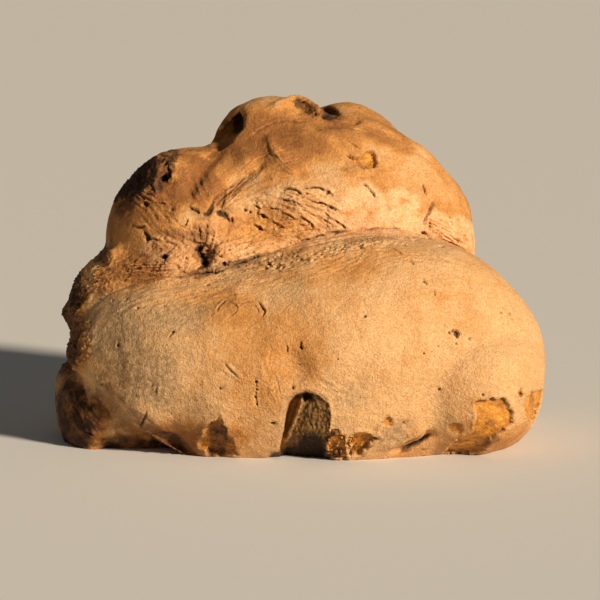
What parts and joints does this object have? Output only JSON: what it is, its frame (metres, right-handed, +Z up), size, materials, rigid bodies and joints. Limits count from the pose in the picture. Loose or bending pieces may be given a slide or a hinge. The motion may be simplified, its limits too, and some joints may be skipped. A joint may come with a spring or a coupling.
{
  "type": "matera bread",
  "caption": "Tall rustic durum wheat loaf, folded over itself: a long front fold under a hill of rear dough, with torn crust and burst blisters, standing on a flat base.",
  "frame": {"origin": "on the floor, under the middle of the loaf's box", "axes": "+X along the long front fold, to the right of someone facing it; -Y out of the front fold; +Z up"},
  "size_m": [0.25, 0.1954, 0.1725],
  "materials": {
    "crust": "dry baked crust, matte"
  },
  "bodies": {
    "root": {"loaf": "crust"}
  },
  "joints": []
}
